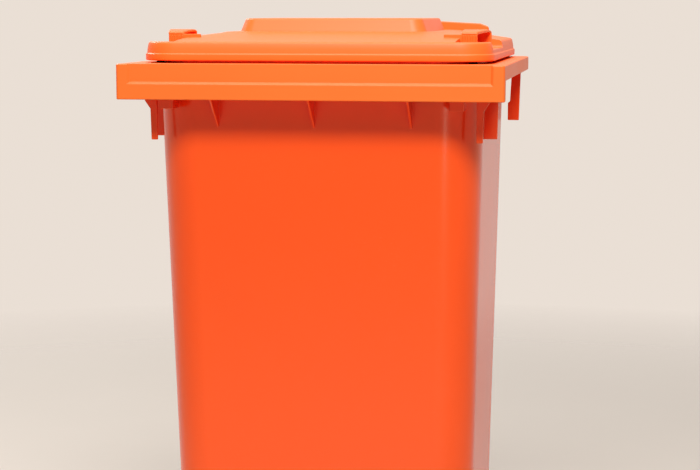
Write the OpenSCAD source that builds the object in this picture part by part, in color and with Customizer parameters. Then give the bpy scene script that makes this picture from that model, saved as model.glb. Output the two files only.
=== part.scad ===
// Two-wheeled refuse bin of 120 litres: a moulded tub with a comb-lift rim, a hinged
// lid, and two rubber-tyred wheels that snap onto a steel axle.
// Origin: on the floor, in the middle of the bin's outline. +X is the bin's right seen
// from the front, +Y points to the handle side, +Z is up.

/* [Overall] */
// Width over the side rims
bin_w = 480; // [470:1:490]
// Depth from the comb-lift band to the back of the handle
bin_d = 550; // [545:1:560]
// Height of the rim's top face above the floor
rim_z = 870; // [850:1:890]
// Length of the rim from front to back
rim_l = 470; // [460:1:475]

/* [Tub] */
// Thickness of the moulded walls
wall = 4; // [3:0.5:5]
// Half of the tub's width just under the rim
tub_half_top = 208; // [204:1:210]
// Half of the tub's width at the floor
tub_half_base = 188; // [184:1:190]
// Distance from the comb-lift band back to the top of the front wall
front_shelf = 42; // [38:1:46]
// How far the front wall leans back between the rim and the floor
front_lean = 55; // [40:1:60]
// Distance from the rim's back edge forward to the top of the rear wall
back_shelf = 14; // [12:1:16]
// How far the rear wall leans forward between the rim and the floor
back_lean = 18; // [10:1:22]
// Radius of the tub's upright corners at the rim
tub_r_top = 58; // [50:1:62]
// Radius of the tub's upright corners at the floor
tub_r_base = 48; // [40:1:52]
// Height of the wall inside the rim that the lid closes over
upstand_h = 9; // [6:1:12]

/* [Rim] */
// Height of the comb-lift band at the front
band_h = 44; // [40:1:48]
// Height of the rim at the sides and back
skirt_h = 19; // [16:1:22]
// Depth of the long panel sunk into the upper half of the band
panel_sink = 3; // [2:0.5:3]
// Width of the raised end at each side of the panel
band_end = 14; // [10:1:20]
// Radius of the rim's front corners
rim_r = 4; // [3:1:8]
// Radius of the rim's back corners
rim_back_r = 14; // [10:1:20]

/* [Lid] */
// Half of the lid's width at its lower edge
lid_half_w = 221; // [218:1:224]
// Distance from the comb-lift band back to the lid's front face
lid_set_back = 35; // [32:1:36]
// Gap between the rim and the lid's lower edge
lid_gap = 3; // [2:0.5:3]
// Height of the lid's front face above the rim
lid_face_h = 27; // [25:1:29]
// Height of the lid's flat roof above the rim
roof_h = 38; // [36:1:40]
// Height of the raised middle panel above the rim
plateau_h = 59; // [52:1:62]
// Height of the ridge at the back of the lid above the rim
ridge_h = 51; // [48:1:54]
// Thickness of the lid
lid_wall = 3.5; // [3:0.5:4]

/* [Hinge and handle] */
// Distance from the rim's back edge to the hinge axis
hinge_reach = 63; // [60:1:66]
// Depth of the hinge axis below the rim's top face
hinge_drop = 4; // [3:1:6]
// Radius of the handle bar
handle_r = 13; // [12:0.5:14]
// Radius of the hinge pins
pin_r = 6; // [5:0.5:7]

/* [Wheels] */
// Diameter of the wheels over the tyres
wheel_d = 200; // [196:1:200]
// Width of the tyre
tyre_w = 46; // [44:1:48]
// Radius of the axle
axle_r = 10; // [9:0.5:10]
// Distance of the axle behind the middle of the bin
axle_y = 165; // [160:1:168]

/* [Hidden] */
$fn = 64;

LEFT = -1;
RIGHT = 1;

orange = "orangered";
black = "#222222";
rubber = "#303030";
steel = "silver";

sliver = 0.2;    // thickness of the slices that a hull joins
fit = 0.05;      // radial clearance of a running fit
gap = 0.3;       // clearance between pieces that only lie close

// Places along Y
front_y = -bin_d / 2;
rim_back_y = front_y + rim_l;
hinge_y = rim_back_y + hinge_reach;
hinge_z = rim_z - hinge_drop;
eye_r = bin_d / 2 - hinge_y;
tub_front_top = front_y + front_shelf;
tub_back_top = rim_back_y - back_shelf;
lid_front_y = front_y + lid_set_back;
lid_back_y = rim_back_y + 3;

// Wheel niche and the step under the tub that the axle lies in
wheel_r = wheel_d / 2;
niche_half = 170;
niche_r = wheel_r + 14;
step_y = axle_y - 37;
step_z = wheel_r + 44;
foot_h = 8;
foot_w = 14;

// Hub, measured outwards from the tub
hub_in = 188;
hub_out = 234;
hub_mid = (hub_in + hub_out) / 2;
boss_r = 28;
hub_rim_r = 79;
hub_rim_t = 5;
spoke_n = 8;
spoke_t = 4;
spoke_w = 30;
cap_r = 30;
cap_t = 3;
groove_x = 204;
groove_w = 10;
groove_r = 7;
latch_r = 4.4;
latch_top = wheel_r + 15;
latch_bore_top = wheel_r + 24;
spring_r = 3.3;
wire_r = 0.5;
spring_turns = 5;

// Grips and buffers of the lid
lid_r = 45;
recess_x = 176;
recess_h = 17;
recess_l = 190;
recess_rim = 6;
lid_skirt_h = 8.5;
plateau_half = 125;
plateau_front = front_y + 171;
plateau_l = 244;
plateau_r = 20;
ridge_half = 182;
ridge_end_h = 43;
grip_y = front_y + 97;
grip_l = 62;
grip_h = 39;
buffer_at = [197, lid_front_y + 20];

// Rim furniture
ledge_drop = 25;
lug_xs = [-163, 0, 163];
lug_w = 22;
comb_rib_xs = [-122, 0, 122];
comb_rib_t = 3;
comb_rib_depth = 81;
block_x = [172, 190];
block_depth = 56;
block_back = 18;
nest_x = 147;
nest_r = 15;
nest_depth = 12;
nest_drop = 30;
nest_y = front_y + 28;
arm_in = [126, 134];
arm_out = [156, 164];
eye = [136, 154];

// ---------- shared shapes ----------

// Rectangle from [-half_w, y0] to [half_w, y1] with round corners of radius r
module rounded(half_w, y0, y1, r) {
    translate([-half_w + r, y0]) square([2 * (half_w - r), y1 - y0]);
    translate([-half_w, y0 + r]) square([2 * half_w, y1 - y0 - 2 * r]);
    for (x = [-half_w + r, half_w - r], y = [y0 + r, y1 - r])
        translate([x, y]) circle(r = r);
}

// The same rectangle as a thin slice at height z, for use in a hull
module slice(z, half_w, y0, y1, r) {
    translate([0, 0, z]) linear_extrude(sliver) rounded(half_w, y0, y1, r, $fn = 32);
}

// Extrudes a shape drawn in Y and Z across X, from x0 to x1
module across(x0, x1) {
    translate([x0, 0, 0]) rotate([90, 0, 90]) linear_extrude(x1 - x0) children();
}

// Round bar along X, from x0 to x1, with its axis at y, z
module bar_x(x0, x1, y, z, r) {
    translate([x0, y, z]) rotate([0, 90, 0]) cylinder(r = r, h = x1 - x0);
}

// Plate drawn in X and Z, of thickness t, with its front face at y
module plate(y, t) {
    translate([0, y + t, 0]) rotate([90, 0, 0]) linear_extrude(t) children();
}

// A shape and its mirror image in the plane X = 0
module both_sides() {
    children();
    mirror([1, 0, 0]) children();
}

// ---------- tub ----------

// Tub's tapering form, drawn in from its outside by inset, between heights z0 and z1
module tub_form(inset, z0, z1) {
    function at(z, base, top) = base + (top - base) * z / rim_z;
    hull()
        for (z = [z0, z1 - sliver])
            slice(
                z,
                at(z, tub_half_base, tub_half_top) - inset,
                at(z, tub_front_top + front_lean, tub_front_top) + inset,
                at(z, tub_back_top - back_lean, tub_back_top) - inset,
                at(z, tub_r_base, tub_r_top) - inset
            );
}

// Space that the wheels and the axle take out of the tub, grown by the wall
module running_gear_space(grow) {
    both_sides()
        intersection() {
            across(niche_half - grow, bin_w)
                union() {
                    translate([axle_y, wheel_r]) circle(r = niche_r + grow);
                    translate([axle_y, -niche_r]) square([niche_r, 2 * niche_r + wheel_r]);
                }
            translate([0, -bin_d, -1]) cube([bin_w, 2 * bin_d, rim_z]);
        }
    across(-bin_w / 2, bin_w / 2)
        polygon([
            [step_y - grow, -1],
            [step_y - grow, step_z - 10],
            [step_y + 10, step_z + grow],
            [bin_d / 2, step_z + 50 + grow],
            [bin_d / 2, -1]
        ]);
}

// Flat rim, with the band at the front and the lower skirt round the sides and back
module rim() {
    translate([0, 0, rim_z - wall])
        linear_extrude(wall)
            rim_plan();
    translate([0, 0, rim_z - skirt_h])
        linear_extrude(skirt_h)
            rim_outline();
    translate([0, 0, rim_z - band_h])
        linear_extrude(band_h)
            intersection() {
                rim_outline();
                translate([-bin_w / 2, front_y]) square([bin_w, band_end]);
            }
}

module rim_plan() {
    rounded(bin_w / 2, front_y, rim_back_y - rim_l / 3, rim_r);
    rounded(bin_w / 2, front_y + rim_l / 3, rim_back_y, rim_back_r);
}

module rim_outline() {
    difference() {
        rim_plan();
        rounded(bin_w / 2 - wall, front_y + wall + panel_sink, rim_back_y - wall, rim_back_r - wall);
    }
}

// Long panel sunk into the upper half of the band, over a sloping ledge
module band_panel() {
    panel_half = bin_w / 2 - band_end;
    ledge = rim_z - ledge_drop;
    across(-panel_half, panel_half)
        polygon([
            [front_y - 1, ledge - 1],
            [front_y, ledge],
            [front_y + panel_sink, ledge + panel_sink],
            [front_y + panel_sink, rim_z + 1],
            [front_y - 1, rim_z + 1]
        ]);
}

// Relief behind the lower half of the band, which keeps it one wall thick
module band_relief() {
    half = bin_w / 2 - 16;
    translate([-half, front_y + wall, rim_z - band_h - 1])
        cube([2 * half, panel_sink + 1, band_h - ledge_drop - wall]);
}

// Three-cornered ribs and square blocks that tie the band to the front wall
module comb_ribs() {
    for (x = comb_rib_xs)
        across(x - comb_rib_t / 2, x + comb_rib_t / 2)
            polygon([
                [front_y + wall, rim_z - wall],
                [front_y + wall, rim_z - band_h + 2],
                [tub_front_top + 7, rim_z - comb_rib_depth],
                [tub_front_top + 7, rim_z - wall]
            ]);
    both_sides()
        translate([block_x[0], front_y + block_back, rim_z - block_depth])
            cube([block_x[1] - block_x[0], front_shelf - block_back + wall, block_depth - wall]);
}

// Plates that hang under the side rims
module side_plates() {
    plate_t = 4;
    inner = tub_half_top - 10;
    both_sides() {
        translate([0, 0, rim_z]) {
            plate(front_y + 52, plate_t)
                polygon([[inner, -wall], [222, -wall], [218, -48], [211, -58], [210, -97], [inner, -97]]);
            plate(front_y + 112, plate_t)
                polygon([[inner, -wall], [230, -wall], [224, -50], [223, -96], [inner, -96]]);
            plate(front_y + 428, plate_t)
                polygon([
                    [219, -wall], [236, -wall], [231, -24], [229, -91],
                    [213, -91], [213, -66], [216, -64]
                ]);
        }
    }
}

// Housing under the rim, open below, for an identity chip
module chip_nest() {
    translate([nest_x, nest_y, rim_z - nest_drop])
        difference() {
            cylinder(r = nest_r + 2, h = nest_drop - wall);
            translate([0, 0, -1]) cylinder(r = nest_r, h = nest_depth + 1);
        }
}

// Arms behind the rim, the handle bar between them, and the bore for the hinge pins
module handle() {
    both_sides()
        for (x = [arm_in, arm_out])
            across(x[0], x[1])
                union() {
                    translate([hinge_y, hinge_z]) circle(r = eye_r);
                    polygon([
                        [rim_back_y - wall, rim_z],
                        [rim_back_y - wall, rim_z - skirt_h - 12],
                        [hinge_y - 6, hinge_z - eye_r + 1],
                        [hinge_y, hinge_z],
                        [hinge_y - 10, hinge_z + eye_r - 3.5]
                    ]);
                }
    bar_x(-arm_in[0] - 1, arm_in[0] + 1, hinge_y, hinge_z, handle_r);
}

// Lugs under the step that the axle is pushed through
module axle_lugs() {
    for (x = lug_xs)
        across(x - lug_w / 2, x + lug_w / 2)
            union() {
                translate([axle_y, wheel_r]) circle(r = axle_r + 8);
                translate([step_y - wall, wheel_r - axle_r - 8])
                    square([axle_y - step_y + wall, 2 * axle_r + 16]);
                translate([axle_y - axle_r - 8, wheel_r]) square([2 * axle_r + 8, step_z - wheel_r + 12]);
            }
}

module tub() {
    color(orange)
        difference() {
            union() {
                difference() {
                    tub_form(0, 0, rim_z + upstand_h);
                    running_gear_space(0);
                }
                difference() {
                    rim();
                    band_panel();
                    band_relief();
                }
                comb_ribs();
                side_plates();
                chip_nest();
                handle();
                axle_lugs();
            }
            difference() {
                tub_form(wall, foot_h + wall, rim_z + upstand_h + 1);
                running_gear_space(wall);
            }
            // hollow under the floor, inside the foot that the tub stands on
            translate([0, 0, -1])
                linear_extrude(foot_h + 1)
                    rounded(
                        tub_half_base - foot_w,
                        tub_front_top + front_lean + foot_w,
                        step_y - foot_w,
                        tub_r_base - foot_w
                    );
            // bores for the hinge pins and the axle
            bar_x(-bin_w / 2, bin_w / 2, hinge_y, hinge_z, pin_r + fit);
            bar_x(-bin_w / 2, bin_w / 2, axle_y, wheel_r, axle_r + fit);
        }
}

// ---------- lid ----------

// Outside of the lid without its ridge and raised panel, drawn in by inset
module lid_shell(inset) {
    // thicker lower edge, which ends in a crease
    if (inset == 0)
        translate([0, 0, rim_z + lid_gap])
            linear_extrude(lid_skirt_h)
                rounded(lid_half_w + 0.8, lid_front_y - 0.8, lid_back_y, lid_r);
    // height above the rim, and how far the outline is drawn in at that height
    steps = [[lid_gap - (inset > 0 ? 1 : 0), 0], [18, 1.5], [lid_face_h - 3, 3], [lid_face_h, 8]];
    roof_half = 140;
    roof_front = front_y + 165;
    roof_back = lid_back_y - 12;
    top = inset > 0 ? inset : 0;
    hull() {
        for (s = steps)
            slice(
                rim_z + s[0] - (s[0] > lid_gap ? top : 0),
                lid_half_w - s[1] - inset,
                lid_front_y + s[1] + inset,
                lid_back_y - s[1] - inset,
                lid_r - s[1] - inset
            );
        slice(rim_z + roof_h - sliver - top, roof_half, roof_front, roof_back, 30);
    }
}

// Raised middle panel
module plateau(inset) {
    // height above the rim, and how far the outline is drawn in at that height
    steps = [[20, -2], [roof_h - 2, 0], [plateau_h - 2, 7], [plateau_h - sliver, 9]];
    hull()
        for (s = steps)
            slice(
                rim_z + s[0] - inset,
                plateau_half - s[1] - inset,
                plateau_front + s[1] + inset,
                plateau_front + plateau_l - s[1] - inset,
                plateau_r - s[1] / 2
            );
}

// Low wall along the back edge of the lid
module ridge(inset) {
    function crest(drop) = [
        [inset - ridge_half, 24], [inset - ridge_half, ridge_end_h - drop],
        [12 - ridge_half, ridge_h - 3.5 - drop], [66 - ridge_half, ridge_h - 0.5 - drop],
        [0, ridge_h - drop],
        [ridge_half - 66, ridge_h - 0.5 - drop], [ridge_half - 12, ridge_h - 3.5 - drop],
        [ridge_half - inset, ridge_end_h - drop], [ridge_half - inset, 24]
    ];
    hull() {
        plate(lid_back_y - 16 + inset, sliver)
            translate([0, rim_z - inset]) polygon(crest(0));
        plate(lid_back_y - 6 - inset, sliver)
            translate([0, rim_z - inset]) polygon(crest(3));
    }
}

// Low place at a front corner that the grip stands in, grown by the lid's thickness.
// A wall is left round the corner itself; behind it the recess is open to the side.
module corner_recess(grow) {
    corner_l = 36;
    both_sides()
        translate([0, 0, rim_z + recess_h - grow])
            linear_extrude(roof_h) {
                intersection() {
                    translate([recess_x - grow, lid_front_y]) square([lid_half_w, recess_l]);
                    rounded(
                        lid_half_w - recess_rim + grow,
                        lid_front_y + recess_rim - grow,
                        lid_back_y,
                        lid_r - recess_rim + grow
                    );
                }
                translate([recess_x - grow, lid_front_y + recess_rim + corner_l - grow])
                    square([lid_half_w, recess_l - corner_l + 2 * grow]);
            }
}

// Grip in a corner recess: two posts and the strap that the fingers go under
module grip() {
    t = 4;
    h = grip_h - recess_h + 1;
    wall_l = 20;
    both_sides()
        translate([0, grip_y, rim_z + recess_h - 1]) {
            translate([178, 0, 0]) cube([20, t, h]);
            translate([176, grip_l - t, 0]) cube([35, t, h]);
            translate([0, 0, h - t])
                linear_extrude(t)
                    polygon([[178, 0], [198, 0], [211, grip_l], [176, grip_l]]);
            // wall that runs from the grip into the roof
            translate([recess_x - wall_l, 0, 10]) cube([wall_l + 3, t, 9.5]);
            // finger ribs on the front of the grip
            for (i = [0:5])
                translate([179.5 + i * 3.2, -0.8, h - 14]) cube([1.2, 1, 12]);
        }
}

// Arms that reach back from the lid to the hinge pins
module lid_arms() {
    both_sides()
        across(eye[0], eye[1])
            union() {
                translate([hinge_y, hinge_z]) circle(r = eye_r - 2);
                polygon([
                    [lid_back_y - 10, rim_z + lid_gap + 1],
                    [lid_back_y + 2, rim_z + lid_gap],
                    [hinge_y - 16, rim_z + lid_gap],
                    [hinge_y - 12, hinge_z - 8],
                    [hinge_y, hinge_z],
                    [hinge_y + 3, hinge_z + eye_r - 2.5],
                    [lid_back_y + 10, rim_z + 22],
                    [lid_back_y - 10, rim_z + 25]
                ]);
            }
}

// Bosses under the lid's front corners for the rubber buffers
module buffer_bosses() {
    both_sides()
        translate([buffer_at[0], buffer_at[1], rim_z + 7])
            difference() {
                cylinder(r = 6, h = recess_h - 8);
                translate([0, 0, -1]) cylinder(r = 2.5, h = 7);
            }
}

module lid() {
    color(orange)
        difference() {
            union() {
                difference() {
                    union() {
                        lid_shell(0);
                        plateau(0);
                        ridge(0);
                    }
                    corner_recess(0);
                    difference() {
                        union() {
                            lid_shell(lid_wall);
                            plateau(lid_wall);
                            ridge(lid_wall);
                        }
                        corner_recess(lid_wall);
                    }
                }
                grip();
                lid_arms();
                buffer_bosses();
            }
            bar_x(-bin_w / 2, bin_w / 2, hinge_y, hinge_z, pin_r + fit);
        }
}

module lid_buffer(side) {
    color(rubber)
        translate([side * buffer_at[0], buffer_at[1], rim_z + gap]) {
            cylinder(r = 5, h = 7 - gap);
            cylinder(r = 2.5 - fit, h = 12 - gap);
        }
}

// ---------- hinge ----------

module hinge_pin(side) {
    color(black)
        mirror([side < 0 ? 1 : 0, 0, 0]) {
            bar_x(arm_in[0] - 8, arm_out[1] + 1, hinge_y, hinge_z, pin_r);
            bar_x(arm_out[1], arm_out[1] + 4, hinge_y, hinge_z, pin_r + 4);
        }
}

module chip_nest_plug() {
    color(black)
        translate([nest_x, nest_y, rim_z - nest_drop]) {
            translate([0, 0, -2]) cylinder(r = nest_r + 0.5, h = 2);
            cylinder(r = nest_r - fit, h = 6);
        }
}

// ---------- running gear ----------

module axle() {
    end = hub_out - 8;
    color(steel)
        translate([0, axle_y, wheel_r])
            rotate([0, 90, 0])
                rotate_extrude()
                    polygon([
                        [0, -end], [axle_r - 2, -end], [axle_r, -end + 2],
                        [axle_r, -groove_x - groove_w / 2], [groove_r, -groove_x - groove_w / 2],
                        [groove_r, -groove_x + groove_w / 2], [axle_r, -groove_x + groove_w / 2],
                        [axle_r, groove_x - groove_w / 2], [groove_r, groove_x - groove_w / 2],
                        [groove_r, groove_x + groove_w / 2], [axle_r, groove_x + groove_w / 2],
                        [axle_r, end - 2], [axle_r - 2, end], [0, end]
                    ]);
}

// Turns a profile of radius and place along X about the axle, on the side given
module wheel_turned(side) {
    translate([0, axle_y, wheel_r])
        mirror([side < 0 ? 1 : 0, 0, 0])
            rotate([0, 90, 0])
                rotate_extrude($fn = 96)
                    children();
}

module axle_spacer(side) {
    x0 = lug_xs[2] + lug_w / 2 + gap;
    color(black)
        wheel_turned(side)
            translate([axle_r + fit, x0]) square([6, hub_in - gap - x0]);
}

module wheel_hub(side) {
    web_t = 5;
    color(black)
        difference() {
            union() {
                wheel_turned(side) {
                    // boss
                    translate([axle_r + fit, hub_in]) square([boss_r - axle_r - fit, hub_out - 3 - hub_in]);
                    // web
                    translate([boss_r - 1, hub_mid - web_t / 2])
                        square([hub_rim_r - boss_r - 1, web_t]);
                    // rim with its flanges
                    translate([hub_rim_r - hub_rim_t, hub_mid - 19]) square([hub_rim_t, 38]);
                    translate([hub_rim_r - hub_rim_t, hub_mid - 19]) square([hub_rim_t + 4, 4]);
                    translate([hub_rim_r - hub_rim_t, hub_mid + 15]) square([hub_rim_t + 4, 4]);
                }
                translate([side * hub_mid, axle_y, wheel_r])
                    for (i = [0:spoke_n - 1])
                        rotate([(i + 0.5) * 360 / spoke_n, 0, 0])
                            translate([-spoke_w / 2, -spoke_t / 2, boss_r - 1])
                                cube([spoke_w, spoke_t, hub_rim_r - hub_rim_t - boss_r + 2]);
            }
            // radial bore for the latch and its spring
            translate([side * groove_x, axle_y, wheel_r])
                cylinder(r = latch_r + fit, h = latch_bore_top - wheel_r);
        }
}

module tyre(side) {
    half_w = tyre_w / 2;
    seat = hub_rim_r + fit;
    color(rubber)
        wheel_turned(side)
            translate([0, hub_mid])
                difference() {
                    union() {
                        translate([seat, -14.7]) square([wheel_r - seat - 9, 29.4]);
                        translate([hub_rim_r + 4.4, -half_w + 4]) square([wheel_r - hub_rim_r - 9, tyre_w - 8]);
                        translate([wheel_r - 11, -half_w]) square([3, tyre_w]);
                        intersection() {
                            translate([wheel_r - 50, 0]) circle(r = 50);
                            translate([wheel_r - 9, -half_w]) square([9, tyre_w]);
                        }
                    }
                    // shallow line round each shoulder
                    for (x = [-half_w, half_w])
                        translate([wheel_r - 10, x]) circle(r = 1, $fn = 24);
                }
}

module hub_cap(side) {
    skirt_in = hub_mid + spoke_w / 2 + gap;
    color(black)
        wheel_turned(side)
            union() {
                translate([0, hub_out - 3 + gap]) square([cap_r, cap_t]);
                translate([0, hub_out + gap]) square([cap_r - 6, 1.5]);
                translate([boss_r + fit, skirt_in]) square([cap_r - boss_r - fit, hub_out - skirt_in]);
            }
}

module wheel_latch(side) {
    color(steel)
        translate([side * groove_x, axle_y, wheel_r + groove_r + 0.4])
            cylinder(r = latch_r, h = latch_top - wheel_r - groove_r - 0.4);
}

// Coil spring above the latch: a round wire swept up a helix
module latch_spring(side) {
    z0 = latch_top + wire_r + 0.1;
    z1 = latch_bore_top - wire_r - 0.1;
    steps = 14;
    sides = 6;
    n = spring_turns * steps;
    points = [
        for (i = [0:n], k = [0:sides - 1])
            let (
                a = i * 360 / steps,
                b = k * 360 / sides,
                r = spring_r + wire_r * cos(b)
            )
            [r * cos(a), r * sin(a), z0 + (z1 - z0) * i / n + wire_r * sin(b)]
    ];
    faces = concat(
        [[for (k = [0:sides - 1]) k]],
        [
            for (i = [0:n - 1], k = [0:sides - 1])
                let (j = (k + 1) % sides)
                [i * sides + k, (i + 1) * sides + k, (i + 1) * sides + j, i * sides + j]
        ],
        [[for (k = [sides - 1:-1:0]) n * sides + k]]
    );
    color(steel)
        translate([side * groove_x, axle_y, 0])
            polyhedron(points, faces, convexity = 8);
}

// ---------- assembly ----------

tub();
lid();
hinge_pin(LEFT);  // hinge_pin_left
hinge_pin(RIGHT);  // hinge_pin_right
lid_buffer(LEFT);  // lid_buffer_left
lid_buffer(RIGHT);  // lid_buffer_right
chip_nest_plug();
axle();
axle_spacer(LEFT);  // axle_spacer_left
axle_spacer(RIGHT);  // axle_spacer_right
wheel_hub(LEFT);  // wheel_hub_left
wheel_hub(RIGHT);  // wheel_hub_right
tyre(LEFT);  // tyre_left
tyre(RIGHT);  // tyre_right
hub_cap(LEFT);  // hub_cap_left
hub_cap(RIGHT);  // hub_cap_right
wheel_latch(LEFT);  // wheel_latch_left
wheel_latch(RIGHT);  // wheel_latch_right
latch_spring(LEFT);  // latch_spring_left
latch_spring(RIGHT);  // latch_spring_right
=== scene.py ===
"""Wheelie bin of 120 litres: rounded meshes and materials for every piece, on the bodies of the CAD frame.

Shapes are worked out in millimetres from the boxes of the CAD nodes.
They are turned into metres when a mesh is made.
"""

import math

import bmesh
import bpy
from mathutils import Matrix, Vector


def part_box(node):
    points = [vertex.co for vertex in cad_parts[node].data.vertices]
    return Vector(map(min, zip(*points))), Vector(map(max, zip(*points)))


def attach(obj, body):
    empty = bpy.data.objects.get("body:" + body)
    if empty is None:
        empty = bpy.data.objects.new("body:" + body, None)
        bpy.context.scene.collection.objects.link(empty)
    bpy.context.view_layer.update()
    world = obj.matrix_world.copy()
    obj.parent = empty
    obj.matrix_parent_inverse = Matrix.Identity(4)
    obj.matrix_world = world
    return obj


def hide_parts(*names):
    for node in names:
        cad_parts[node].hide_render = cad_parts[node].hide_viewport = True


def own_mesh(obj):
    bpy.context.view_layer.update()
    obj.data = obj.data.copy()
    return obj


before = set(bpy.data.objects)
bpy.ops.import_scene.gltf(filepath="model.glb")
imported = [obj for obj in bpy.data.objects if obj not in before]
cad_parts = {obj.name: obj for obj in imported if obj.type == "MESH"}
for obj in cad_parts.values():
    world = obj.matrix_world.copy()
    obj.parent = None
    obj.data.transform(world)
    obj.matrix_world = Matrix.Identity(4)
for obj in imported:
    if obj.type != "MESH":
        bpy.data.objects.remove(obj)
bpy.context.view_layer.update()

MM = 0.001
LEFT, RIGHT = -1, 1
SHARP_ANGLE = 40
SIDES = {"left": LEFT, "right": RIGHT}


def box_mm(node):
    """Lowest and highest corner of a CAD node, in millimetres."""
    low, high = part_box(node)
    return Vector(low) / MM, Vector(high) / MM


def middle(pair, axis):
    """Middle of a box along one axis."""
    return (pair[0][axis] + pair[1][axis]) / 2


# ---------- driving sizes, from the frame ----------

tub_low, tub_high = box_mm("tub")
lid_low, lid_high = box_mm("lid")
tyre_box = box_mm("tyre_right")
pin_box = box_mm("hinge_pin_right")

# Rim and hinge
UPSTAND = 9
WALL = 4
HALF_W = tub_high.x
FRONT_Y = tub_low.y
RIM_Z = round(tub_high.z - UPSTAND)
HINGE_Y = middle(pin_box, 1)
HINGE_Z = middle(pin_box, 2)
HINGE_REACH = 63
EYE_R = tub_high.y - HINGE_Y
PIN_R = 6.05
RIM_BACK_Y = HINGE_Y - HINGE_REACH
RIM_R = 4
RIM_BACK_R = 14
SKIRT_H = 19
BAND_H = 44
BAND_END = 14
PANEL_HALF = HALF_W - BAND_END
PANEL_SINK = 3
LEDGE_DROP = 25

# Tub: pairs give the value at the floor and at the rim
FRONT_SHELF = 42
FRONT_LEAN = 55
BACK_SHELF = 14
BACK_LEAN = 18
TUB_HALF = (188, 208)
TUB_FRONT = (FRONT_Y + FRONT_SHELF + FRONT_LEAN, FRONT_Y + FRONT_SHELF)
TUB_BACK = (RIM_BACK_Y - BACK_SHELF - BACK_LEAN, RIM_BACK_Y - BACK_SHELF)
TUB_R = (48, 58)
FOOT_W = 14
FOOT_H = 8

# Rim furniture
RIB_XS = (-122, 0, 122)
RIB_HALF_T = 1.5
RIB_DEPTH = 81
BLOCK_X = (172, 190)
BLOCK_BACK = 18
BLOCK_DEPTH = 56
NEST_X = 147
NEST_Y = FRONT_Y + 28
NEST_R = 15
NEST_DROP = 30
NEST_DEPTH = 12
ARM_XS = ((126, 134), (156, 164))
EYE_X = (136, 154)
HANDLE_R = 13
HANDLE_HALF = 127

# Lid
LID_EDGE = 0.8
LID_HALF = lid_high.x - LID_EDGE
LID_FRONT_Y = lid_low.y + LID_EDGE
LID_BACK_Y = RIM_BACK_Y + 3
LID_TOP = lid_high.z - RIM_Z
LID_WALL = 3.5
LID_R = 45
LID_FACE_H = 27
ROOF_H = 38
ROOF_HALF = 140
ROOF_FRONT = FRONT_Y + 165
ROOF_BACK = LID_BACK_Y - 12
ROOF_R = 30
PLATEAU_HALF = 125
PLATEAU_FRONT = FRONT_Y + 171
PLATEAU_L = 244
PLATEAU_R = 20
RIDGE_HALF = 182
RIDGE_H = 51
RECESS_X = 176
RECESS_H = 17
RECESS_L = 190
RECESS_RIM = 6
CORNER_L = 36
GRIP_Y = FRONT_Y + 97
GRIP_L = 62
GRIP_H = 39

# Running gear
WHEEL_R = (tyre_box[1].z - tyre_box[0].z) / 2
AXLE_Y = middle(tyre_box, 1)
AXLE_Z = middle(tyre_box, 2)
HUB_MID = middle(tyre_box, 0)
TYRE_HALF = (tyre_box[1].x - tyre_box[0].x) / 2
AXLE_BORE = 10.05
LATCH_BORE = 4.45
HUB_RIM_R = 79
BOSS_R = 28
SPOKE_N = 8
NICHE_X = 170
NICHE_R = WHEEL_R + 14
STEP_Y = AXLE_Y - 37
STEP_Z = WHEEL_R + 44
LUG_XS = (-163, 0, 163)
LUG_HALF = 11


# ---------- mesh tools ----------


def mesh_from(name, bm):
    """Mesh from a bmesh, which is then freed."""
    mesh = bpy.data.meshes.new(name)
    bm.to_mesh(mesh)
    bm.free()
    return mesh


def placed(name, data):
    """Object in the scene from its mesh, light or camera."""
    obj = bpy.data.objects.new(name, data)
    bpy.context.scene.collection.objects.link(obj)
    return obj


def made(bm):
    """Object from a bmesh drawn in millimetres, with its faces turned outwards."""
    bmesh.ops.recalc_face_normals(bm, faces=bm.faces)
    bmesh.ops.scale(bm, vec=(MM, MM, MM), verts=bm.verts)
    return placed("part", mesh_from("part", bm))


def applied(obj):
    """The object with its modifiers worked into its mesh."""
    graph = bpy.context.evaluated_depsgraph_get()
    mesh = bpy.data.meshes.new_from_object(obj.evaluated_get(graph))
    obj.modifiers.clear()
    obj.data = mesh
    return obj


def bevelled(obj, width, segments=3, angle=35):
    """The object with every edge sharper than angle rounded to width millimetres."""
    bevel = obj.modifiers.new("bevel", "BEVEL")
    bevel.width = width * MM
    bevel.segments = segments
    bevel.limit_method = "ANGLE"
    bevel.angle_limit = math.radians(angle)
    return applied(obj)


def combined(obj, tools, operation):
    """The object after a boolean operation with each of the tools, which are then removed."""
    for tool in tools:
        step = obj.modifiers.new("combine", "BOOLEAN")
        step.operation = operation
        step.solver = "EXACT"
        step.object = tool
        applied(obj)
        bpy.data.objects.remove(tool)
    return obj


def cut(obj, *tools):
    """The object with the tools taken away."""
    return combined(obj, tools, "DIFFERENCE")


def added(obj, *tools):
    """The object and the tools as one solid."""
    return combined(obj, tools, "UNION")


def with_painted_light(part):
    """The part, marked for the second material of the piece that it is joined to: the paler orange that is
    painted light.
    """
    part.data.polygons.foreach_set("material_index", [1] * len(part.data.polygons))
    return part


def joined(name, parts, node, body, materials):
    """One named piece from several parts, standing for a CAD node on a body."""
    bm = bmesh.new()
    for part in parts:
        bm.from_mesh(part.data)
        bpy.data.objects.remove(part)
    mesh = mesh_from(name, bm)
    mesh.polygons.foreach_set("use_smooth", [True] * len(mesh.polygons))
    mesh.set_sharp_from_angle(angle=math.radians(SHARP_ANGLE))
    for material in materials:
        mesh.materials.append(material)
    obj = placed(name, mesh)
    weighted = obj.modifiers.new("weighted", "WEIGHTED_NORMAL")
    weighted.keep_sharp = True
    applied(obj)
    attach(obj, body)
    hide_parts(node)
    return obj


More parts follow.
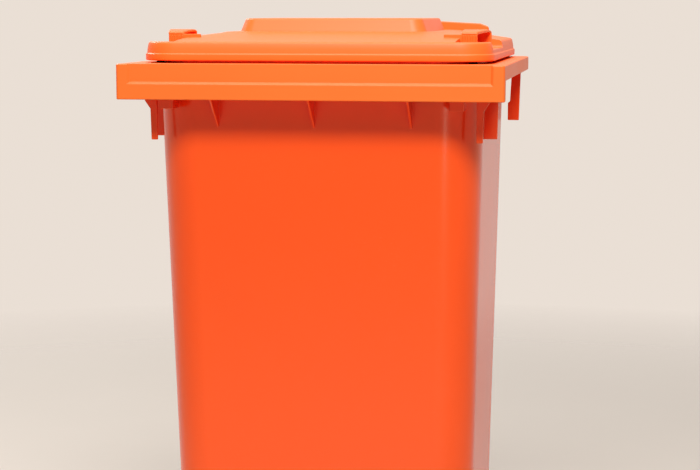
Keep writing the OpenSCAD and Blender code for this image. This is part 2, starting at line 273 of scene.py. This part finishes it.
def ring_loop(z, x0, x1, y0, y1, radius, steps=10):
    """Loop round a rectangle with round corners, at height z."""
    radius = max(radius, 0.3)
    centres = [
        (x1 - radius, y0 + radius, -90),
        (x1 - radius, y1 - radius, 0),
        (x0 + radius, y1 - radius, 90),
        (x0 + radius, y0 + radius, 180),
    ]
    loop = []
    for cx, cy, start in centres:
        for i in range(steps + 1):
            a = math.radians(start + 90 * i / steps)
            loop.append((cx + radius * math.cos(a), cy + radius * math.sin(a), z))
    return loop


def loft(loops, closed=False):
    """Solid through loops of equal length: capped at its ends, or closed on itself like a ring."""
    bm = bmesh.new()
    rows = [[bm.verts.new(p) for p in loop] for loop in loops]
    pairs = list(zip(rows, rows[1:]))
    if closed:
        pairs.append((rows[-1], rows[0]))
    else:
        bm.faces.new(rows[0])
        bm.faces.new(rows[-1])
    for a, b in pairs:
        for i in range(len(a)):
            j = (i + 1) % len(a)
            bm.faces.new((a[i], a[j], b[j], b[i]))
    return made(bm)


def across(x0, x1, outline):
    """Prism along X of an outline in Y and Z."""
    return loft([[(x, y, z) for y, z in outline] for x in (x0, x1)])


def plate(y0, y1, outline):
    """Prism along Y of an outline in X and Z."""
    return loft([[(x, y, z) for x, z in outline] for y in (y0, y1)])


def block(x0, x1, y0, y1, z0, z1):
    """Square block between two corners."""
    return across(x0, x1, [(y0, z0), (y1, z0), (y1, z1), (y0, z1)])


def circle(radius, steps):
    """Points round a circle about the origin, as pairs."""
    angles = [2 * math.pi * i / steps for i in range(steps)]
    return [(radius * math.cos(a), radius * math.sin(a)) for a in angles]


def turned(profile, y, z, side, steps):
    """Ring turned about an axis along X through y, z; the closed profile is pairs of radius and X."""
    loops = [[(side * x, y + u, z + v) for u, v in circle(radius, steps)] for radius, x in profile]
    return loft(loops, closed=True)


def rod(x0, x1, y, z, radius, steps=48):
    """Round bar along X, with its axis at y, z."""
    return loft([[(x, y + u, z + v) for u, v in circle(radius, steps)] for x in (x0, x1)])


def mirrored(points, side):
    """Points of X and something else, on the side given."""
    return [(side * p[0], *p[1:]) for p in points]


def span(side, x0, x1):
    """The range x0 to x1 on the side given, lowest first."""
    return sorted((side * x0, side * x1))


def mix(pair, t):
    """Value a share t of the way from the first of the pair to the second."""
    return pair[0] + (pair[1] - pair[0]) * t


# ---------- materials ----------


def link_noise(tree, coords, scale, detail, stretch=(1, 1, 1)):
    """Noise factor in object space."""
    mapping = tree.nodes.new("ShaderNodeMapping")
    mapping.inputs["Scale"].default_value = stretch
    noise = tree.nodes.new("ShaderNodeTexNoise")
    noise.inputs["Scale"].default_value = scale
    noise.inputs["Detail"].default_value = detail
    tree.links.new(coords.outputs["Object"], mapping.inputs["Vector"])
    tree.links.new(mapping.outputs["Vector"], noise.inputs["Vector"])
    return noise.outputs["Fac"]


def link_range(tree, value, low, high, to_low, to_high):
    """Value mapped from low..high to to_low..to_high, and held inside it."""
    node = tree.nodes.new("ShaderNodeMapRange")
    for socket, number in zip(("From Min", "From Max", "To Min", "To Max"), (low, high, to_low, to_high)):
        node.inputs[socket].default_value = number
    tree.links.new(value, node.inputs["Value"])
    return node.outputs["Result"]


PATCH_SCALE = 5
SCRATCH_SCALE = 150
SCRATCH_STRETCH = (1, 1, 12)


def surface(
    name, colour, rough, grain=1100, grain_depth=0.02, mottle=0.06, scuff=0.12, metal=0.0, edge=0.9,
    specular=0.5, streak=(1, 1, 1)
):
    """Moulded or rolled surface: mottled colour, varying roughness, fine scuffs, grain and softened edges.

    Grain is the scale of the grain's noise, and streak multiplies that scale along X, Y and Z.
    The height grain_depth and the edge radius are in millimetres. Mottle is the share by which the colour
    varies, and scuff is how far a scratch moves the colour to a paler one and how much it adds to rough.
    """
    material = bpy.data.materials.new(name)
    material.use_nodes = True
    tree = material.node_tree
    shader = tree.nodes["Principled BSDF"]
    shader.inputs["Base Color"].default_value = (*colour, 1)
    shader.inputs["Roughness"].default_value = rough
    shader.inputs["Metallic"].default_value = metal
    shader.inputs["Specular IOR Level"].default_value = specular
    coords = tree.nodes.new("ShaderNodeTexCoord")

    patches = link_noise(tree, coords, PATCH_SCALE, 4)
    scratches = link_noise(tree, coords, SCRATCH_SCALE, 3, stretch=SCRATCH_STRETCH)
    scratch_mask = link_range(tree, scratches, 0.56, 0.80, 0, 1)

    mottled = tree.nodes.new("ShaderNodeMix")
    mottled.data_type = "RGBA"
    mottled.inputs["A"].default_value = (*[c * (1 - mottle) for c in colour], 1)
    mottled.inputs["B"].default_value = (*[min(c * (1 + mottle), 1) for c in colour], 1)
    tree.links.new(link_range(tree, patches, 0.3, 0.7, 0, 1), mottled.inputs["Factor"])
    worn = tree.nodes.new("ShaderNodeMix")
    worn.data_type = "RGBA"
    worn.inputs["B"].default_value = (*[c * 0.9 + 0.04 for c in colour], 1)
    tree.links.new(mottled.outputs["Result"], worn.inputs["A"])
    tree.links.new(link_range(tree, scratch_mask, 0, 1, 0, scuff), worn.inputs["Factor"])
    tree.links.new(worn.outputs["Result"], shader.inputs["Base Color"])

    base_rough = link_range(tree, patches, 0.3, 0.7, rough * 0.93, rough * 1.07)
    added_rough = tree.nodes.new("ShaderNodeMath")
    added_rough.operation = "ADD"
    added_rough.use_clamp = True
    tree.links.new(base_rough, added_rough.inputs[0])
    tree.links.new(link_range(tree, scratch_mask, 0, 1, 0, scuff), added_rough.inputs[1])
    tree.links.new(added_rough.outputs["Value"], shader.inputs["Roughness"])

    soft_edge = tree.nodes.new("ShaderNodeBevel")
    soft_edge.samples = 4
    soft_edge.inputs["Radius"].default_value = edge * MM
    bump = tree.nodes.new("ShaderNodeBump")
    bump.inputs["Strength"].default_value = 1
    bump.inputs["Distance"].default_value = grain_depth * MM
    tree.links.new(link_noise(tree, coords, grain, 3, stretch=streak), bump.inputs["Height"])
    tree.links.new(soft_edge.outputs["Normal"], bump.inputs["Normal"])
    tree.links.new(bump.outputs["Normal"], shader.inputs["Normal"])
    return material


ORANGE = (0.95, 0.08, 0.009)
# Paler, yellower orange for the lid and rim: painted light, a lit copy of the orange standing for the
# stronger light on their faces and tops
PAINTED_LIGHT_ORANGE = (0.98, 0.172, 0.045)
orange = surface(
    "orange_polyethylene", ORANGE, 0.24, grain_depth=0.012, mottle=0.02, scuff=0.03, specular=0.7
)
# Lit copy of the orange, paler and more matte: painted light, used on the lid and the rim
orange_painted_light = surface(
    "orange_polyethylene_painted_light", PAINTED_LIGHT_ORANGE, 0.42,
    grain_depth=0.015, mottle=0.03, scuff=0.05, specular=0.3
)
black = surface("black_polypropylene", (0.016, 0.016, 0.018), 0.42, mottle=0.15, scuff=0.2)
buffer_rubber = surface("soft_black_rubber", (0.020, 0.019, 0.018), 0.75, mottle=0.15, edge=0.4)
tyre_rubber = surface(
    "tyre_rubber", (0.028, 0.027, 0.026), 0.68, grain=500, grain_depth=0.08, mottle=0.25, scuff=0.3
)
steel = surface(
    "zinc_plated_steel", (0.62, 0.62, 0.60), 0.30, mottle=0.12, metal=1.0, edge=0.4, streak=(9, 1, 1)
)


# ---------- tub ----------


def tub_loop(z, inset):
    """Outline of the tub's tapering wall at height z, drawn in by inset."""
    t = z / RIM_Z
    half = mix(TUB_HALF, t) - inset
    front, back = mix(TUB_FRONT, t) + inset, mix(TUB_BACK, t) - inset
    return ring_loop(z, -half, half, front, back, mix(TUB_R, t) - inset)


def niche_outline(grow):
    """Outline in Y and Z of the space for a wheel."""
    r = NICHE_R + grow
    arc = [math.radians(-90 - 180 * i / 24) for i in range(25)]
    points = [(AXLE_Y + r * math.cos(a), AXLE_Z + r * math.sin(a)) for a in arc]
    return points + [(AXLE_Y + 2 * r, AXLE_Z + r), (AXLE_Y + 2 * r, AXLE_Z - r)]


def gear_space(grow):
    """Space that the wheels and the axle take out of the tub, as three solids."""
    step = across(-HALF_W, HALF_W, [
        (STEP_Y - grow, -20),
        (STEP_Y - grow, STEP_Z - 10),
        (STEP_Y + 10, STEP_Z + grow),
        (STEP_Y + 200, STEP_Z + 68 + grow),
        (STEP_Y + 200, -20),
    ])
    reach = HALF_W + 20
    niches = [across(*span(side, NICHE_X - grow, reach), niche_outline(grow)) for side in (LEFT, RIGHT)]
    return [step, *niches]


def tub_wall():
    """Hollow tapering tub with its foot and the spaces for the wheels."""
    heights = [60 + 100 * i for i in range(9)]
    top = RIM_Z + UPSTAND
    bottom = FOOT_H + WALL
    foot_half = TUB_HALF[0] - FOOT_W
    foot = (-foot_half, foot_half, TUB_FRONT[0] + FOOT_W, STEP_Y - FOOT_W, TUB_R[0] - FOOT_W)
    outside = [ring_loop(z, *foot) for z in (FOOT_H, 0.5)]
    outside += [tub_loop(0, 4), tub_loop(0.8, 1.6), tub_loop(3.5, 0)]
    outside += [tub_loop(z, 0) for z in heights]
    outside += [tub_loop(top - 1.5, 0), tub_loop(top - 0.4, 0.4), tub_loop(top, 1.5)]
    inside = [tub_loop(bottom, WALL + 12), tub_loop(bottom + 3, WALL + 4), tub_loop(bottom + 10, WALL)]
    inside += [tub_loop(z, WALL) for z in heights]
    inside += [tub_loop(top - 1.2, WALL), tub_loop(top + 1, WALL - 1.8)]
    return cut(loft(outside), *gear_space(0), cut(loft(inside), *gear_space(WALL)))


def rim_loop(side_z, band_z, inset, front_inset=None):
    """Loop round the rim, at side_z along its sides and back and at band_z along the band."""
    front_inset = inset if front_inset is None else front_inset
    corner_end = FRONT_Y + 60
    x1 = HALF_W - inset
    front_r = max(RIM_R - inset, 0.4)
    back = ring_loop(side_z, -x1, x1, corner_end, RIM_BACK_Y - inset, RIM_BACK_R - inset, 8)
    half = len(back) // 4
    back = back[half:3 * half]
    front = ring_loop(band_z, -x1, x1, FRONT_Y + front_inset, corner_end, front_r, 8)
    step_right = [(x1, FRONT_Y + BAND_END, band_z), (x1, FRONT_Y + BAND_END + 2, side_z)]
    step_left = [(-x, y, z) for x, y, z in reversed(step_right)]
    return front[:half] + step_right + back + step_left + front[3 * half:]


def panel_cutter():
    """Space of the long panel sunk into the band, with the sloping ledge under it."""
    ledge, top = RIM_Z - LEDGE_DROP, RIM_Z + 1
    corners = []
    for depth, widen in ((-2, 2), (PANEL_SINK, -3)):
        x, y, z = PANEL_HALF + widen, FRONT_Y + depth, ledge + depth
        corners.append([(-x, y, z), (x, y, z), (x, y, top), (-x, y, top)])
    return loft(corners)


def rim():
    """Flat rim with its skirt, and the deep band at the front with its sunken panel."""
    half = TUB_HALF[1] - 2
    inner = [TUB_FRONT[1] + 2, TUB_BACK[1] - 2, TUB_R[1] - 2]
    side_low, band_low, ledge = RIM_Z - SKIRT_H, RIM_Z - BAND_H, RIM_Z - LEDGE_DROP
    under = RIM_Z - WALL
    thick = WALL + PANEL_SINK

    def flange(z):
        """Inner edge of the rim, with as many points as a rim loop."""
        loop = ring_loop(z, -half, half, *inner, steps=8)
        quarter = len(loop) // 4
        right, left = loop[quarter - 1], loop[3 * quarter]
        return loop[:quarter] + [right, right] + loop[quarter:3 * quarter] + [left, left] + loop[3 * quarter:]

    profile = [
        flange(RIM_Z),
        rim_loop(RIM_Z, RIM_Z, 4),
        rim_loop(RIM_Z - 0.3, RIM_Z - 0.3, 1.2),
        rim_loop(RIM_Z - 0.9, RIM_Z - 0.9, 0.4),
        rim_loop(RIM_Z - 1.8, RIM_Z - 1.8, 0),
        rim_loop(side_low + 0.9, band_low + 0.9, 0),
        rim_loop(side_low, band_low, 0.9),
        rim_loop(side_low, band_low, WALL - 0.8),
        rim_loop(side_low + 0.8, band_low + 0.8, WALL),
        rim_loop(side_low + 3, ledge - WALL, WALL),
        rim_loop(side_low + 6, ledge - 1, WALL, thick),
        rim_loop(under, under, WALL, thick),
        flange(under),
    ]
    # The rim takes the paler orange that is painted light, for the stronger light that falls on it
    return with_painted_light(cut(loft(profile, closed=True), panel_cutter()))


def comb_ribs():
    """Ribs and blocks that tie the band to the front wall."""
    parts = []
    wall_y = TUB_FRONT[1]
    for x in RIB_XS:
        parts.append(across(x - RIB_HALF_T, x + RIB_HALF_T, [
            (FRONT_Y + WALL, RIM_Z - WALL),
            (FRONT_Y + WALL, RIM_Z - BAND_H + 2),
            (wall_y + 6.5, RIM_Z - RIB_DEPTH),
            (wall_y + 6.5, RIM_Z - WALL),
        ]))
    for side in (LEFT, RIGHT):
        xs = span(side, *BLOCK_X)
        parts.append(block(*xs, FRONT_Y + BLOCK_BACK, wall_y + 4, RIM_Z - BLOCK_DEPTH, RIM_Z - WALL))
    return [bevelled(part, 0.8, 2) for part in parts]


def side_plates():
    """Plates that hang under the side rims."""
    inner = TUB_HALF[1] - 6
    # distance back from the bin's front, and the outline in X and height from the rim
    outlines = {
        52: [(inner, -WALL), (222, -WALL), (218, -48), (211, -58), (210, -97), (inner, -97)],
        112: [(inner, -WALL), (230, -WALL), (224, -50), (223, -96), (inner, -96)],
        428: [(219, -WALL), (236, -WALL), (231, -24), (229, -91), (213, -91), (213, -66), (216, -64)],
    }
    parts = []
    for side in (LEFT, RIGHT):
        for place, outline in outlines.items():
            shifted = [(x, RIM_Z + z) for x, z in mirrored(outline, side)]
            parts.append(bevelled(plate(FRONT_Y + place, FRONT_Y + place + WALL, shifted), 1.0))
    return parts


def chip_nest():
    """Round housing under the rim, open below."""
    bottom = RIM_Z - NEST_DROP

    def ring(z, radius):
        return [(NEST_X + u, NEST_Y + v, z) for u, v in circle(radius, 48)]

    return cut(
        loft([ring(bottom, NEST_R + 1.2), ring(bottom + 1, NEST_R + 2), ring(RIM_Z - 2, NEST_R + 2)]),
        loft([ring(bottom - 1, NEST_R), ring(bottom + NEST_DEPTH, NEST_R)]),
    )


def handle():
    """Arms behind the rim with the bar between them."""
    parts = []
    for side in (LEFT, RIGHT):
        for xs in ARM_XS:
            x0, x1 = span(side, *xs)
            arm = across(x0, x1, [
                (RIM_BACK_Y - WALL, RIM_Z - 0.5),
                (RIM_BACK_Y - WALL, RIM_Z - SKIRT_H - 12),
                (HINGE_Y - 6, HINGE_Z - EYE_R + 1),
                (HINGE_Y + 2, HINGE_Z),
                (HINGE_Y - 10, HINGE_Z + EYE_R - 3.5),
            ])
            arm = added(arm, rod(x0, x1, HINGE_Y, HINGE_Z, EYE_R))
            parts.append(bevelled(cut(arm, rod(x0 - 5, x1 + 5, HINGE_Y, HINGE_Z, PIN_R)), 1.0))
    bar = rod(-HANDLE_HALF, HANDLE_HALF, HINGE_Y, HINGE_Z, HANDLE_R, steps=64)
    for side in (LEFT, RIGHT):
        bar = cut(bar, rod(*span(side, 110, 140), HINGE_Y, HINGE_Z, PIN_R))
    return [*parts, bar]


def axle_lugs():
    """Lugs under the step that the axle is pushed through."""
    parts = []
    outer = AXLE_BORE + 8
    for x in LUG_XS:
        x0, x1 = x - LUG_HALF, x + LUG_HALF
        lug = added(
            rod(x0, x1, AXLE_Y, AXLE_Z, outer),
            across(x0 + 0.1, x1 - 0.1, [
                (STEP_Y - WALL + 1, AXLE_Z - outer),
                (AXLE_Y, AXLE_Z - outer),
                (AXLE_Y + outer, AXLE_Z),
                (AXLE_Y + outer, STEP_Z + 13),
                (STEP_Y - WALL + 1, STEP_Z - 10),
            ]),
        )
        parts.append(bevelled(cut(lug, rod(x0 - 5, x1 + 5, AXLE_Y, AXLE_Z, AXLE_BORE)), 1.0, angle=50))
    return parts


def tub():
    """The tub with its rim and everything moulded on it."""
    parts = [tub_wall(), rim(), *comb_ribs(), *side_plates(), chip_nest(), *handle(), *axle_lugs()]
    # The second material is the orange with painted light, used for the rim
    return joined("moulded_tub", parts, "tub", "bin", [orange, orange_painted_light])


# ---------- lid ----------


def lid_loop(z, inset):
    """Outline of the lid's outer wall, at a height above the rim."""
    return ring_loop(
        RIM_Z + z, -LID_HALF + inset, LID_HALF - inset, LID_FRONT_Y + inset, LID_BACK_Y - inset, LID_R - inset
    )


def roof_loop(z, grow):
    """Outline of the lid's roof, at a height above the rim, grown outwards."""
    half = ROOF_HALF + grow
    return ring_loop(RIM_Z + z, -half, half, ROOF_FRONT - grow, ROOF_BACK + min(grow, 4), ROOF_R + grow)


def lid_shell(t):
    """Lid without its raised parts, drawn in by t all round."""
    if t:
        loops = [lid_loop(1, t), lid_loop(6, t), lid_loop(18, 1.5 + t)]
    else:
        # lower edge, and the crease above it
        edge = [(3, 0.6), (3.3, -0.2), (4.3, -LID_EDGE), (10.6, -LID_EDGE), (11.3, -0.3), (12.2, 0.9)]
        loops = [lid_loop(z, inset) for z, inset in edge] + [lid_loop(18, 1.5)]
    shoulder = [(3.2, 2.8), (1.6, 3.7), (0.5, 5.2), (0, 7.6)]
    loops += [lid_loop(LID_FACE_H - drop - t, inset + t) for drop, inset in shoulder]
    loops += [roof_loop(z - t, grow) for z, grow in ((35.8, 12), (37.4, 4), (ROOF_H, -6))]
    return loft(loops)


def plateau(t):
    """Raised middle panel, drawn in by t."""
    y1 = PLATEAU_FRONT + PLATEAU_L
    steps = [
        (20 + t, -2), (ROOF_H - 2, 0),
        (LID_TOP - 2.4, 6.4), (LID_TOP - 1.2, 7), (LID_TOP - 0.4, 8), (LID_TOP, 9.6),
    ]
    loops = []
    for z, inset in steps:
        x = PLATEAU_HALF - inset - t
        radius = PLATEAU_R - inset / 2
        loops.append(ring_loop(RIM_Z + z - t, -x, x, PLATEAU_FRONT + inset + t, y1 - inset - t, radius))
    return loft(loops)


def ridge(t):
    """Low wall along the back edge of the lid, drawn in by t."""

    def section(y, drop):
        right = [
            (RIDGE_HALF - t, 24), (RIDGE_HALF - t, RIDGE_H - 8 - drop),
            (RIDGE_HALF - 12, RIDGE_H - 3.5 - drop), (RIDGE_HALF - 66, RIDGE_H - 0.5 - drop),
        ]
        shape = [(-x, z) for x, z in right] + [(0, RIDGE_H - drop)] + right[::-1]
        return [(x, y, RIM_Z + z - t) for x, z in shape]

    solid = loft([section(LID_BACK_Y - 16 + t, 0), section(LID_BACK_Y - 6 - t, 3)])
    return solid if t else bevelled(solid, 2.2, 4, angle=25)


def recess(side, t):
    """Low place at a front corner that the grip stands in, grown by t.

    A wall is left round the corner itself, and behind it the recess is open to the side.
    """
    floor = RECESS_H - t
    corner_y = LID_FRONT_Y + RECESS_RIM
    above_lid = ROOF_H + 30

    def behind_corner(z, inset):
        xs = span(side, RECESS_X - t + inset, LID_HALF + 60)
        y0, y1 = corner_y + CORNER_L - t + inset, corner_y + RECESS_L + t - inset
        return ring_loop(RIM_Z + z, *xs, y0, y1, 9 - inset)

    def in_corner(z):
        near, far = RECESS_X - t, LID_HALF - RECESS_RIM + t
        radius = LID_R - RECESS_RIM + t
        y0, y1 = corner_y - t, corner_y + 60
        arc = [math.radians(-90 + 90 * i / 12) for i in range(13)]
        points = [(far - radius + radius * math.cos(a), y0 + radius + radius * math.sin(a)) for a in arc]
        outline = [(near, y0), *[p for p in points if p[0] > near], (far, y1), (near, y1)]
        return [(side * x, y, RIM_Z + z) for x, y in outline]

    levels = [(floor, 3), (floor + 0.8, 1.2), (floor + 3, 0.2), (above_lid, 0)]
    return added(
        loft([behind_corner(z, inset) for z, inset in levels]),
        loft([in_corner(z) for z in (floor + 0.01, above_lid - 1)]),
    )


def grip(side):
    """Two posts with the strap over the finger gap, finger ribs, and a wall that runs into the roof."""
    y0 = GRIP_Y
    y1 = y0 + GRIP_L
    low, top = RIM_Z + RECESS_H - 1, RIM_Z + GRIP_H
    t = 4
    # place along Y, the strap's two sides, and how far it lies under the grip's height
    stations = [
        (y0, 178, 198, 1.0),
        (y0 + 6, 178, 199.5, 0),
        (y0 + 20, 177.5, 203, -1.2),
        (y0 + 44, 176.5, 208, -2.2),
        (y1 - 6, 176, 209.5, -1.6),
        (y1, 176, 211, 0.2),
    ]

    def strap_loop(y, a, b, drop):
        under, over = top - t - drop, top - drop
        return [(side * x, y, z) for x, z in ((a, under), (b, under), (b, over), (a, over))]

    strap = loft([strap_loop(*station) for station in stations])
    wall = block(*span(side, RECESS_X - 20, RECESS_X + 3), y0, y0 + t, RIM_Z + 26, RIM_Z + 35.5)
    parts = [
        bevelled(strap, 1.5, 4, angle=50),
        bevelled(block(*span(side, 178, 198), y0, y0 + t, low, top - 2), 1.2),
        bevelled(block(*span(side, 176, 211), y1 - t, y1, low, top - 2), 1.2),
        bevelled(wall, 0.8),
    ]
    rib_n, rib_pitch, rib_w = 6, 3.2, 1.2
    for i in range(rib_n):
        x = 179.5 + i * rib_pitch
        parts.append(bevelled(block(*span(side, x, x + rib_w), y0 - 0.8, y0 + 1, top - 17, top - 5), 0.4, 2))
    return parts


def lid_arm(side):
    """Arm that reaches back from the lid to its hinge pin."""
    x0, x1 = span(side, *EYE_X)
    r = EYE_R - 2
    under = RIM_Z + 2.5
    arm = across(x0, x1, [
        (LID_BACK_Y - 10, under + 1),
        (LID_BACK_Y + 2, under),
        (HINGE_Y - 16, under),
        (HINGE_Y - 12, HINGE_Z - 8),
        (HINGE_Y, HINGE_Z),
        (HINGE_Y + 3, HINGE_Z + r - 0.5),
        (LID_BACK_Y + 10, RIM_Z + 22),
        (LID_BACK_Y - 10, RIM_Z + 25),
    ])
    arm = added(arm, rod(x0, x1, HINGE_Y, HINGE_Z, r))
    return bevelled(cut(arm, rod(x0 - 5, x1 + 5, HINGE_Y, HINGE_Z, PIN_R)), 1.5, 3, angle=50)


def lid():
    """The hollow lid with its grips and hinge arms."""
    inside = added(lid_shell(LID_WALL), plateau(LID_WALL), ridge(LID_WALL))
    inside = cut(inside, recess(LEFT, LID_WALL), recess(RIGHT, LID_WALL))
    shell = added(lid_shell(0), plateau(0), ridge(0))
    shell = cut(shell, recess(LEFT, 0), recess(RIGHT, 0), inside)
    parts = [shell]
    for side in (LEFT, RIGHT):
        parts += [*grip(side), lid_arm(side)]
    # The whole lid takes the orange with painted light
    return joined("moulded_lid", parts, "lid", "lid", [orange_painted_light])


# ---------- wheels ----------


def wheel_ring(profile, side, steps=96):
    """Ring turned about the axle; X in the profile is measured from the middle of the wheel."""
    return turned([(r, HUB_MID + x) for r, x in profile], AXLE_Y, AXLE_Z, side, steps)


def tyre(name, side):
    """Solid rubber tyre with a crowned tread and a groove round each shoulder."""
    crown = [(WHEEL_R - 0.0105 * x * x, x) for x in range(-18, 19, 3)]
    shoulder = [
        (WHEEL_R - 4.6, 20), (WHEEL_R - 5.6, 20.6), (WHEEL_R - 5.9, 21.3), (WHEEL_R - 6.8, 22),
        (WHEEL_R - 9, TYRE_HALF), (WHEEL_R - 13, TYRE_HALF - 0.4), (WHEEL_R - 16, TYRE_HALF - 3.5),
        (HUB_RIM_R + 4.5, 19), (HUB_RIM_R + 4.5, 14.7), (HUB_RIM_R + 0.05, 14.7),
    ]
    profile = [(r, -x) for r, x in reversed(shoulder)] + crown + shoulder
    parts = [wheel_ring(profile, side, 128)]
    return joined(f"tyre_rubber_{name}", parts, f"tyre_{name}", f"wheel_{name}", [tyre_rubber])


def wheel_hub(name, side):
    """Moulded hub: boss, web, spokes, and a rim with two flanges."""
    boss = [
        (AXLE_BORE, -23), (BOSS_R - 1.5, -23), (BOSS_R, -21.5),
        (BOSS_R, 18.5), (BOSS_R - 1.5, 20), (AXLE_BORE, 20),
    ]
    web = [(BOSS_R - 1, -2.5), (HUB_RIM_R - 2, -2.5), (HUB_RIM_R - 2, 2.5), (BOSS_R - 1, 2.5)]
    out, base = HUB_RIM_R + 4, HUB_RIM_R - 5
    felloe = [
        (base, -18), (base + 1, -19), (out - 1, -19), (out, -18), (out, -15), (HUB_RIM_R, -15),
        (HUB_RIM_R, 15), (out, 15), (out, 18), (out - 1, 19), (base + 1, 19), (base, 18),
    ]
    parts = [wheel_ring(boss, side), wheel_ring(web, side), wheel_ring(felloe, side)]
    # upright bore for the lock pin and its spring
    drill = bmesh.new()
    bmesh.ops.create_cone(drill, cap_ends=True, segments=32, radius1=LATCH_BORE, radius2=LATCH_BORE, depth=24)
    bmesh.ops.translate(drill, verts=drill.verts, vec=(side * (HUB_MID - 7), AXLE_Y, AXLE_Z + 12))
    parts[0] = cut(parts[0], made(drill))
    for i in range(SPOKE_N):
        spoke = block(*span(side, HUB_MID - 15, HUB_MID + 15), -2, 2, BOSS_R - 1, HUB_RIM_R - 3.5)
        spoke = bevelled(spoke, 0.8, 2)
        turn = math.radians((i + 0.5) * 360 / SPOKE_N)
        sin, cos = math.sin(turn), math.cos(turn)
        for vertex in spoke.data.vertices:
            x, y, z = vertex.co / MM
            vertex.co = Vector((x, AXLE_Y + y * cos - z * sin, AXLE_Z + y * sin + z * cos)) * MM
        parts.append(spoke)
    return joined(
        f"hub_moulding_{name}", parts, f"wheel_hub_{name}", f"wheel_{name}", [black]
    )


def latch_spring(name):
    """Coil spring above a wheel's lock pin, which the pin presses together."""
    low, high = box_mm(f"latch_spring_{name}")
    wire, turns, steps, sides = 0.5, 5, 40, 12
    middle_x = (low.x + high.x) / 2
    radius = (high.y - low.y) / 2 - wire
    loops = []
    for i in range(turns * steps + 1):
        a = 2 * math.pi * i / steps
        z = mix((low.z + wire, high.z - wire), i / (turns * steps))
        loops.append([
            (middle_x + (radius + u) * math.cos(a), AXLE_Y + (radius + u) * math.sin(a), z + v)
            for u, v in circle(wire, sides)
        ])
    coil = joined(
        f"coil_spring_{name}", [loft(loops)], f"latch_spring_{name}", f"wheel_{name}", [steel]
    )
    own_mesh(coil)


# ---------- pieces ----------

tub()
lid()
for side_name, side_sign in SIDES.items():
    tyre(side_name, side_sign)
    wheel_hub(side_name, side_sign)
    latch_spring(side_name)

# CAD nodes whose shape is right, and the material that each gets
CARRIED_OVER = {
    "hinge_pin_left": black,
    "hinge_pin_right": black,
    "chip_nest_plug": black,
    "axle_spacer_left": black,
    "axle_spacer_right": black,
    "hub_cap_left": black,
    "hub_cap_right": black,
    "lid_buffer_left": buffer_rubber,
    "lid_buffer_right": buffer_rubber,
    "axle": steel,
    "wheel_latch_left": steel,
    "wheel_latch_right": steel,
}
for node_name, node_material in CARRIED_OVER.items():
    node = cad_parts[node_name]
    node.data.materials.clear()
    node.data.materials.append(node_material)

# ---------- room, lights and camera, in metres ----------

ROOM = (0.82, 0.735, 0.66)
FLOOR = (0.69, 0.64, 0.59)


def round_floor():
    """Pale round floor that fades out into the pale room on every side."""
    radius, fade_from = 3.2, 1.3
    bm = bmesh.new()
    bmesh.ops.create_circle(bm, cap_ends=True, segments=96, radius=radius)
    floor = placed("floor", mesh_from("floor", bm))
    pale = surface(
        "pale_floor", FLOOR, 0.6, grain=300, grain_depth=0.05, mottle=0.01, scuff=0.02, specular=0.2
    )
    floor.data.materials.append(pale)
    tree = pale.node_tree
    coords = tree.nodes.new("ShaderNodeTexCoord")
    distance = tree.nodes.new("ShaderNodeVectorMath")
    distance.operation = "LENGTH"
    tree.links.new(coords.outputs["Object"], distance.inputs[0])
    clear = tree.nodes.new("ShaderNodeBsdfTransparent")
    blend = tree.nodes.new("ShaderNodeMixShader")
    tree.links.new(link_range(tree, distance.outputs["Value"], fade_from, radius, 0, 1), blend.inputs[0])
    tree.links.new(tree.nodes["Principled BSDF"].outputs["BSDF"], blend.inputs[1])
    tree.links.new(clear.outputs["BSDF"], blend.inputs[2])
    tree.links.new(blend.outputs["Shader"], tree.nodes["Material Output"].inputs["Surface"])


def room():
    """World that looks pale and shines in gloss, but adds only a little light of its own."""
    world = bpy.data.worlds.new("room")
    world.use_nodes = True
    tree = world.node_tree
    seen = tree.nodes["Background"]
    seen.inputs["Color"].default_value = (*ROOM, 1)
    fill = tree.nodes.new("ShaderNodeBackground")
    fill.inputs["Color"].default_value = (*ROOM, 1)
    fill.inputs["Strength"].default_value = 0.1
    ray = tree.nodes.new("ShaderNodeLightPath")
    blend = tree.nodes.new("ShaderNodeMixShader")
    tree.links.new(ray.outputs["Is Diffuse Ray"], blend.inputs[0])
    tree.links.new(seen.outputs["Background"], blend.inputs[1])
    tree.links.new(fill.outputs["Background"], blend.inputs[2])
    tree.links.new(blend.outputs["Shader"], tree.nodes["World Output"].inputs["Surface"])
    bpy.context.scene.world = world


def area_light(name, place, target, width, height, power):
    """Warm white rectangle of light at a place, facing a target, that the camera doesn't see."""
    light = bpy.data.lights.new(name, "AREA")
    light.shape = "RECTANGLE"
    light.size = width
    light.size_y = height
    light.energy = power
    light.color = (1, 0.97, 0.93)
    obj = placed(name, light)
    obj.location = place
    obj.rotation_euler = (Vector(target) - Vector(place)).to_track_quat("-Z", "Y").to_euler()
    obj.visible_camera = False


round_floor()
room()
area_light("ceiling_panel", (0.0, -0.3, 3.2), (0, -0.2, 0.5), 3.0, 1.4, 52)
area_light("front_softbox", (0.5, -2.25, 2.9), (0, -0.2, 0.6), 1.8, 0.7, 108)
area_light("low_window", (1.58, -3.42, 0.5), (0.1, -0.2, 0.5), 0.25, 0.85, 3.5)
area_light("back_softbox", (-2.4, 2.0, 2.9), (0, 0.1, 0.5), 2.0, 1.2, 70)


def camera():
    """Camera at the photo's viewing angle, a little above the rim and to the bin's right."""
    data = bpy.data.cameras.new("camera")
    data.lens = 88.3
    data.sensor_width = 36
    obj = placed("camera", data)
    obj.location = (0.3907, -2.3248, 0.9355)
    obj.rotation_euler = (math.radians(82.644), 0, math.radians(9.345))
    bpy.context.scene.camera = obj


def tone():
    """Plain colours, with the darkest tones of the render made a little darker."""
    view = bpy.context.scene.view_settings
    view.view_transform = "Standard"
    view.use_curve_mapping = True
    curve = view.curve_mapping.curves[3]
    for dark, darker in ((0.02, 0.008), (0.05, 0.03), (0.12, 0.112), (0.3, 0.3)):
        curve.points.new(dark, darker)
    view.curve_mapping.update()


camera()
tone()
